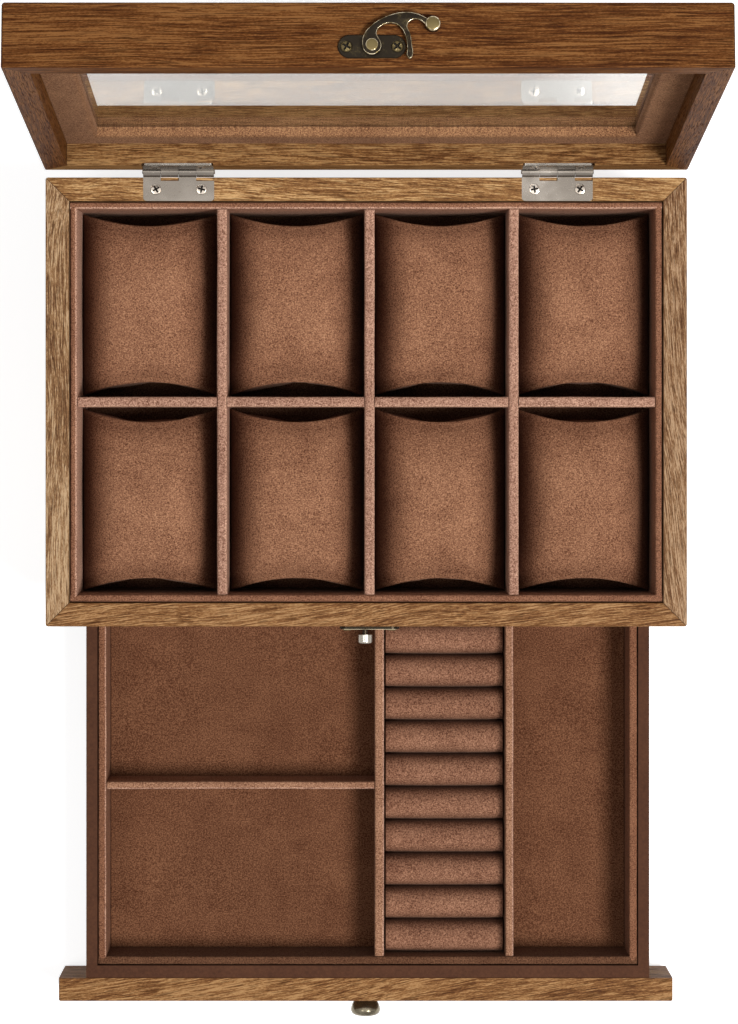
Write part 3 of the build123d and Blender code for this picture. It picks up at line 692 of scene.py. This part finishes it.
def pillowShape(low, high):
    look = pillows
    middle, half = (low + high) / 2, (high - low) / 2
    bm = bmesh.new()
    bmesh.ops.create_cube(bm, size=2)
    for axis, parts in enumerate(look["parts"]):
        cutInto(bm, axis, -1, 1, parts)
    crease = bm.edges.layers.float.new("crease_edge")
    paintedLight = bm.verts.layers.float.new("pileStands")
    hold = bm.verts.layers.float.new("seamHold")
    onEdge = look["onEdge"]
    seams = [edge for edge in bm.edges if all(abs(vert.co.y) > onEdge for vert in edge.verts)
             and all(abs(vert.co.z) > onEdge or abs(vert.co.x) > onEdge for vert in edge.verts)
             and (abs(edge.verts[0].co.z - edge.verts[1].co.z) < 1 - onEdge
                  or abs(edge.verts[0].co.x - edge.verts[1].co.x) < 1 - onEdge)]
    for edge in seams:
        edge[crease] = look["seamCrease"]
    sewn = {vert for edge in seams for vert in edge.verts}
    for vert in bm.verts:                       # the block is pressed to a pillow, pinched at its sides
        across, along, up = vert.co
        full = 1 - abs(across) ** look["fullness"]
        height = look["sideHeight"] / 2 + (half.z - look["sideHeight"] / 2) * full
        length = half.y - look["drawIn"] * (1 - across * across)
        rise = look["endShare"] + (1 - look["endShare"]) * (1 - along * along)
        vert.co = middle + Vector((across * half.x, along * length, up * height * rise))
        if vert in sewn:
            vert.co.y += math.copysign(look["seamOut"], along)
        else:
            vert.co += drift(vert.co / look["wobbleLength"]) * look["wobble"]
    # painted shade: darker toward the pillow's sides and its concave ends, where shade falls; the seam along
    # the ends is painted lighter, a painted highlight
    for vert in bm.verts:
        side = abs(vert.co.x - middle.x) / half.x
        end = (half.y - look["drawIn"] * (1 - side * side) - abs(vert.co.y - middle.y)) / look["endShade"]
        end = min(1, max(0, end))
        drop = min(1, max(0, (side - look["sideShade"]) / (1 - look["sideShade"])))
        vert[paintedLight] = (1 - drop ** look["sideFall"]) * (1 - look["endFall"] * (1 - end) ** 2)
        if vert in sewn:
            vert[hold] = 1
            vert[paintedLight] = look["seamShade"][0] - look["seamShade"][1] * drop
    bm.normal_update()
    return bm


def swell(soft, settings):
    starts, room, sewnShare = {}, {}, {}
    for piece in soft:
        spots = [vert.co.copy() for vert in piece.data.vertices]
        room[piece.name] = []
        for axis, spill in enumerate(settings["spill"]):
            along = [spot[axis] for spot in spots]
            room[piece.name].append((min(along) - spill, max(along) + spill))
        held = piece.data.attributes.get("seamHold")
        sewnShare[piece.name] = [item.value for item in held.data] if held else [0] * len(spots)
        normals = [vert.normal.copy() for vert in piece.data.vertices]
        for vert, normal in zip(piece.data.vertices, normals):
            vert.co -= normal * settings["tuck"]
        starts[piece.name] = [vert.co.copy() for vert in piece.data.vertices]
        velvet = piece.modifiers.new("cloth", "CLOTH")
        velvet.settings.quality = cloth["quality"]
        velvet.settings.mass = cloth["mass"]
        velvet.settings.use_pressure = True
        velvet.settings.uniform_pressure_force = settings["pressure"]
        velvet.settings.effector_weights.gravity = 0
        velvet.collision_settings.use_collision = False
        velvet.point_cache.frame_start, velvet.point_cache.frame_end = 1, cloth["frames"]
    for step in range(1, cloth["frames"] + 1):
        bpy.context.scene.frame_set(step)
    depsgraph = bpy.context.evaluated_depsgraph_get()
    for piece in soft:
        swollen = [vert.co.copy() for vert in piece.evaluated_get(depsgraph).data.vertices]
        piece.modifiers.clear()
        for vert, start, end in zip(piece.data.vertices, starts[piece.name], swollen):
            move = end - start
            if move.length > settings["cap"]:
                move *= settings["cap"] / move.length
            vert.co = start + move * (1 - sewnShare[piece.name][vert.index])
            for axis, (least, most) in enumerate(room[piece.name]):     # flat where the box holds it
                vert.co[axis] = min(max(vert.co[axis], least), most)
    bpy.context.scene.frame_set(1)


def finishSoft(piece, body, finish):
    smooth = piece.modifiers.new("smooth", "SUBSURF")
    smooth.levels = smooth.render_levels = 2
    piece.data.materials.clear()
    piece.data.materials.append(finishes[finish])
    piece.data.shade_smooth()
    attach(piece, body)


softPillows = {}
for row in ("rear", "front"):
    for number in (1, 2, 3, 4):
        node = f"watch_pillow_{row}_{number}"
        softPillows[node] = softObject(f"watchPillow{row.title()}{number}", pillowShape(*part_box(node)))
swell(list(softPillows.values()), pillows)
for node, piece in softPillows.items():
    finishSoft(piece, node, "velvetPillow")
    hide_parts(node)

low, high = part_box("ring_rolls")
softRolls = []
for number in range(rolls["count"]):
    corner = Vector((low.x, low.y + number * rolls["pitch"], low.z))
    size = Vector((high.x - low.x, rolls["pitch"] - rolls["gap"], high.z - low.z))
    bm = bmesh.new()
    bmesh.ops.create_cube(bm, size=1)
    bmesh.ops.scale(bm, vec=size, verts=bm.verts[:])
    bmesh.ops.translate(bm, vec=corner + size / 2, verts=bm.verts[:])
    crown = [edge for edge in bm.edges if all(vert.co.z > high.z - tiny for vert in edge.verts)
             and abs(edge.verts[0].co.y - edge.verts[1].co.y) < tiny]
    bmesh.ops.bevel(bm, geom=crown, affect="EDGES", offset=rolls["round"], segments=6,
                    profile=0.5, material=-1)
    cutAcross(bm, 0, corner.x, corner.x + size.x, rolls["cut"])
    cutAcross(bm, 2, corner.z, corner.z + size.z - rolls["round"], rolls["cut"])
    cutAcross(bm, 1, corner.y, corner.y + size.y, rolls["cut"])
    for place in (corner.x + rolls["hem"], corner.x + size.x - rolls["hem"]):
        cutAt(bm, 0, place)
    # painted shade: each roll darker toward its back and down its rounded top into the creases, lighter at
    # its front where the light falls
    paintedLight = bm.verts.layers.float.new("pileStands")
    for vert in bm.verts:
        back = (vert.co.y - corner.y) / size.y
        drop = min(1, (high.z - vert.co.z) / rolls["round"])
        vert[paintedLight] = max(0, 1 - rolls["backShade"] * back ** rolls["backFall"] - rolls["dropShade"] * drop)
    softRolls.append(softObject(f"ringRoll{number + 1}", bm))
swell(softRolls, rolls)
for piece in softRolls:
    finishSoft(piece, "drawer", "velvetRolls")
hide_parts("ring_rolls")
print("pillows and ring rolls made")


# cross-head screws
screws = {"radius": 2.46 * mm, "edge": 0.18 * mm, "depth": 0.8 * mm, "slotHalf": 0.44 * mm,
          "slotReach": 1.75 * mm, "slotDepth": 0.9 * mm, "slotTaper": 0.72,
          "segments": 32, "undercut": 3, "shoulder": 0.25, "crown": (0.80, 0.72)}


def crossHead(bm, spot, dome):
    look = screws
    reach, half = look["slotReach"], look["slotHalf"]
    before = set(bm.verts)
    rings = []
    for radius, up in ((look["radius"] - look["edge"] * look["undercut"], -look["depth"]),
                       (look["radius"], -look["edge"]),
                       (look["radius"] - look["edge"], dome * look["shoulder"]),
                       (look["radius"] * look["crown"][0], dome * look["crown"][1])):
        made = bmesh.ops.create_circle(bm, segments=look["segments"], radius=radius)["verts"]
        bmesh.ops.translate(bm, verts=made, vec=(0, 0, up))
        rings.append({edge for vert in made for edge in vert.link_edges})
    for lower, upper in zip(rings, rings[1:]):
        bmesh.ops.bridge_loops(bm, edges=list(lower | upper))
    cross = [(half, half), (half, reach), (-half, reach), (-half, half), (-reach, half), (-reach, -half),
             (-half, -half), (-half, -reach), (half, -reach), (half, -half), (reach, -half), (reach, half)]
    mouth = [bm.verts.new((x, y, dome)) for x, y in cross]
    lip = [bm.edges.new((mouth[n - 1], mouth[n])) for n in range(12)]
    bmesh.ops.bridge_loops(bm, edges=list(rings[-1]) + lip)
    walls = bmesh.ops.extrude_edge_only(bm, edges=lip)["geom"]
    foot = [item for item in walls if isinstance(item, bmesh.types.BMVert)]
    inside = [item for item in walls if isinstance(item, bmesh.types.BMFace)]
    bmesh.ops.translate(bm, verts=foot, vec=(0, 0, -look["slotDepth"]))
    bmesh.ops.scale(bm, verts=foot, vec=(look["slotTaper"], look["slotTaper"], 1))
    for face in inside + bmesh.ops.contextual_create(bm, geom=foot)["faces"]:
        face.material_index = 1                 # the near-black inside of the cross
    own = [vert for vert in bm.verts if vert not in before]
    bmesh.ops.contextual_create(bm, geom=[vert for vert in own if abs(vert.co.z + look["depth"]) < tiny])
    bmesh.ops.transform(bm, verts=own, matrix=spot)


def crossHeads(name, body, node, finish, spots, dome):
    bm = bmesh.new()
    for spot in spots:
        crossHead(bm, spot, dome)
    bmesh.ops.recalc_face_normals(bm, faces=bm.faces[:])
    piece = addPiece(name, bm, body, finish, 30, ["slot"])
    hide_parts(node)


hinges = {"places": (-87.7 * mm, 89.3 * mm), "spacing": 21.3 * mm, "y": 99.5 * mm,
          "turns": (20, 65), "turnAlong": 900, "dome": 0.12 * mm}
upSpots, downSpots = [], []
for place in hinges["places"]:
    for side, turn in zip((-1, 1), hinges["turns"]):
        where = Vector((place + side * hinges["spacing"] / 2, hinges["y"], 0))
        twist = Matrix.Rotation(math.radians(turn + place * hinges["turnAlong"]), 4, "Z")
        upSpots.append(Matrix.Translation(where + Vector((0, 0, case["rim"]))) @ twist)
        over = Matrix.Translation(where + Vector((0, 0, case["lidLow"]))) @ Matrix.Rotation(math.pi, 4, "X")
        downSpots.append(swingOpen @ over @ twist)
crossHeads("hingeCaseScrews", "case", "hinge_case_screws", "nickelBright",
           upSpots, hinges["dome"])
crossHeads("hingeLidScrews", "lid", "hinge_lid_screws", "nickelBright",
           downSpots, hinges["dome"])

plates = {"spacing": 20.8 * mm, "latch": (1.5 * mm, 128.4 * mm), "latchThick": 1.0 * mm,
          "catch": (1.5 * mm, 115.5 * mm), "catchThick": 1.4 * mm, "turns": (62, 48), "dome": 0.60 * mm}


def onFront(x, z, out=0.0):                     # a place on the front, X to the right and Y up on it
    return Matrix.Translation((x, -case["halfDepth"] - out, z)) @ Matrix.Rotation(math.pi / 2, 4, "X")


latchSpots, catchSpots = [], []
for side, turn in zip((-1, 1), plates["turns"]):
    twist = Matrix.Rotation(math.radians(turn), 4, "Z")
    shift = side * plates["spacing"] / 2
    (x, z), (catchX, catchZ) = plates["latch"], plates["catch"]
    latchSpots.append(swingOpen @ onFront(x + shift, z, plates["latchThick"]) @ twist)
    catchSpots.append(onFront(catchX + shift, catchZ, plates["catchThick"]) @ twist)
crossHeads("latchScrews", "lid", "latch_screws", "bronzeScrew",
           latchSpots, plates["dome"])
crossHeads("catchScrews", "case", "catch_screws", "bronzeRubbed",
           catchSpots, plates["dome"])
print("screws made")


# swing hook and its rivet
hook = {"low": 2.2 * mm, "thick": 1.6 * mm, "edge": 0.42 * mm, "weld": 0.002 * mm,
        "ballX": 24.9 * mm, "ballY": 8.8 * mm, "ballRadius": 3.2 * mm, "ballDome": 0.15 * mm,
        "ballLow": 1.8 * mm, "ballHigh": 4.8 * mm, "ballEdge": 1.0 * mm,
        "rivetRadius": 2.6 * mm, "rivetLow": 3.8 * mm, "rivetHigh": 5.0 * mm, "rivetEdge": 0.45 * mm,
        "rivetDome": 0.08 * mm, "stemRadius": 1.55 * mm, "stemLow": -1.4 * mm, "stemEdge": 0.1 * mm,
        "segments": 48, "inset": 0.35, "bright": (0.15, 0.93)}


def brightEdges(piece):                         # bevels that face partly sideways are bright brass: worn edges, and a painted highlight along the rounded rim
    piece.data.materials.append(finishes["bronzeEdge"])
    piece.data.materials.append(finishes["bronzeRubbed"])
    x, z = plates["latch"]
    ball = swingOpen @ onFront(x + hook["ballX"], z + hook["ballY"], hook["ballHigh"])
    outward = (swingOpen.to_3x3() @ Vector((0, -1, 0))).normalized()
    least, most = hook["bright"]
    for face in piece.data.polygons:
        if least < abs(face.normal.dot(outward)) < most:
            face.material_index = 1
        elif (face.center - ball.to_translation()).length < hook["ballRadius"]:
            face.material_index = 2


def button(bm, x, y, radius, low, high, edge, dome):
    made = bmesh.ops.create_cone(bm, cap_ends=True, segments=hook["segments"], radius1=radius, radius2=radius,
                                 depth=high - low)["verts"]
    bmesh.ops.translate(bm, verts=made, vec=(x, y, (low + high) / 2))
    top = {face for vert in made for face in vert.link_faces if face.normal.z > 0.9}
    rim = [side for face in top for side in face.edges]
    bmesh.ops.bevel(bm, geom=rim, affect="EDGES", offset=edge, segments=4, profile=0.5, material=-1)
    middle = Vector((x, y, high))
    top = [face for face in bm.faces if len(face.verts) == hook["segments"]
           and (face.calc_center_median() - middle).length < tiny]
    bmesh.ops.inset_individual(bm, faces=top, thickness=radius * hook["inset"])
    bmesh.ops.translate(bm, verts=top[0].verts[:], vec=(0, 0, dome))


hookOutline = [                                 # x, y in mm from the pivot, and True at a corner
    (-3.9, 0.0, False), (-3.35, 4.2, False), (-0.4, 8.0, False), (3.9, 11.0, False), (8.6, 12.9, False),
    (13.3, 13.7, False), (18.4, 13.1, False), (23.6, 10.6, True), (22.6, 7.6, True), (19.4, 10.4, False),
    (16.2, 10.3, False), (14.5, 8.3, False), (15.7, 4.6, False), (16.4, 0.0, False), (16.6, -4.4, False),
    (15.5, -5.6, False), (14.4, -4.6, False), (14.4, -1.4, False), (13.7, 3.6, False), (11.6, 7.4, False),
    (8.2, 9.1, False), (4.3, 8.2, False), (1.95, 5.4, False), (2.3, 3.7, False), (3.4, 1.9, False),
    (3.85, -0.6, False), (2.7, -2.8, False), (0.0, -3.9, False), (-2.8, -2.75, False),
]
flat = bpy.data.curves.new("hookFlat", "CURVE")
flat.dimensions, flat.fill_mode = "2D", "BOTH"
spline = flat.splines.new("BEZIER")
spline.bezier_points.add(len(hookOutline) - 1)
spline.use_cyclic_u = True
spline.resolution_u = 6
for point, (x, y, corner) in zip(spline.bezier_points, hookOutline):
    point.co = (x * mm, y * mm, 0)
    point.handle_left_type = point.handle_right_type = "VECTOR" if corner else "AUTO"
flat.extrude = hook["thick"] / 2 - hook["edge"]
flat.bevel_depth = hook["edge"]
flat.bevel_resolution = 3
flat.offset = -hook["edge"]
bend = bpy.data.objects.new("hookFlat", flat)
bpy.context.collection.objects.link(bend)
bpy.context.view_layer.update()
bm = bmesh.new()
bm.from_mesh(bpy.data.meshes.new_from_object(bend))
bpy.data.objects.remove(bend)
bmesh.ops.remove_doubles(bm, verts=bm.verts[:], dist=hook["weld"])
bmesh.ops.translate(bm, verts=bm.verts[:], vec=(0, 0, hook["low"] + hook["thick"] / 2))
button(bm, hook["ballX"], hook["ballY"], hook["ballRadius"], hook["ballLow"], hook["ballHigh"],
       hook["ballEdge"], hook["ballDome"])
bmesh.ops.transform(bm, verts=bm.verts[:], matrix=swingOpen @ onFront(*plates["latch"]))
piece = addPiece("latchHook", bm, "hook", "bronze", 50)
brightEdges(piece)
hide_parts("latch_hook")

bm = bmesh.new()
button(bm, 0, 0, hook["rivetRadius"], hook["rivetLow"], hook["rivetHigh"],
       hook["rivetEdge"], hook["rivetDome"])
button(bm, 0, 0, hook["stemRadius"], hook["stemLow"], hook["rivetLow"] + hook["stemEdge"],
       hook["stemEdge"], 0)
bmesh.ops.transform(bm, verts=bm.verts[:], matrix=swingOpen @ onFront(*plates["latch"]))
piece = addPiece("latchRivet", bm, "lid", "bronzeRubbed", 50)
brightEdges(piece)
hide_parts("latch_rivet")
print("hook and rivet made")


# camera, lamps and floor
camera = {"place": (-6.11 * mm, -6.48 * mm, 1775.7 * mm), "sensor": 36, "lens": 124.55,
          "shift": (0.01543, -0.0939)}
cameraData = bpy.data.cameras.new("camera")
cameraData.sensor_fit = "VERTICAL"
cameraData.sensor_height = camera["sensor"]
cameraData.lens = camera["lens"]
cameraData.shift_x, cameraData.shift_y = camera["shift"]
cameraObject = bpy.data.objects.new("camera", cameraData)
cameraObject.location = camera["place"]
bpy.context.collection.objects.link(cameraObject)
bpy.context.scene.camera = cameraObject

lamps = {
    "key": {"place": (0.90, -0.50, 2.25), "size": 0.75, "power": 55},
    "side": {"place": (-0.85, -0.35, 2.3), "size": 0.7, "power": 9},
    "sky": {"place": (-0.1, 0.3, 2.5), "size": 1.8, "power": 5},
}
lampsAim = Vector((0, -0.06, 0.08))
for name, lamp in lamps.items():
    data = bpy.data.lights.new(name, "AREA")
    data.shape, data.size, data.energy = "DISK", lamp["size"], lamp["power"]
    light = bpy.data.objects.new(name, data)
    light.location = lamp["place"]
    light.rotation_euler = (lampsAim - light.location).to_track_quat("-Z", "Y").to_euler()
    light.visible_camera = False
    bpy.context.collection.objects.link(light)

studio = {"ambient": 0.11, "floor": (0.82, 0.82, 0.82), "floorGlow": 0.74, "floorHalf": 4}
white = colour(1, 1, 1)


def seenBy(paint):                              # 1 for what the camera sees, also in metal and through glass
    seen = paint.node("ShaderNodeLightPath", output="Is Camera Ray")
    mirrored, through = seen.other("Is Glossy Ray"), seen.other("Is Transmission Ray")
    return seen.maths("MAXIMUM", seen.maths("MAXIMUM", seen, mirrored), through)


paint = Paint(bpy.data.worlds.new("studio"))
ambient = paint.node("ShaderNodeBackground", {}, {"Color": white, "Strength": studio["ambient"]})
backdrop = paint.node("ShaderNodeBackground", {}, {"Color": white, "Strength": 1.0})
shown = paint.node("ShaderNodeMixShader", {}, {"Fac": seenBy(paint), 1: ambient, 2: backdrop})
paint.node("ShaderNodeOutputWorld", {}, {"Surface": shown})
bpy.context.scene.world = paint.owner

paint = Paint(bpy.data.materials.new("floor"))
pale = paint.node("ShaderNodeBsdfDiffuse", {}, {"Color": colour(*studio["floor"])})
glow = paint.node("ShaderNodeEmission", {}, {"Color": white, "Strength": studio["floorGlow"]})
both = paint.node("ShaderNodeAddShader", {}, {0: pale, 1: glow})
shown = paint.node("ShaderNodeMixShader", {}, {"Fac": seenBy(paint), 1: pale, 2: both})
paint.node("ShaderNodeOutputMaterial", {}, {"Surface": shown})
bm = bmesh.new()
bmesh.ops.create_grid(bm, x_segments=8, y_segments=8, size=studio["floorHalf"])
floorMesh = bpy.data.meshes.new("floor")
bm.to_mesh(floorMesh)
bm.free()
floorMesh.materials.append(paint.owner)
floor = bpy.data.objects.new("floor", floorMesh)
bpy.context.collection.objects.link(floor)

bpy.context.scene.view_settings.view_transform = "Standard"

print("scene ready")
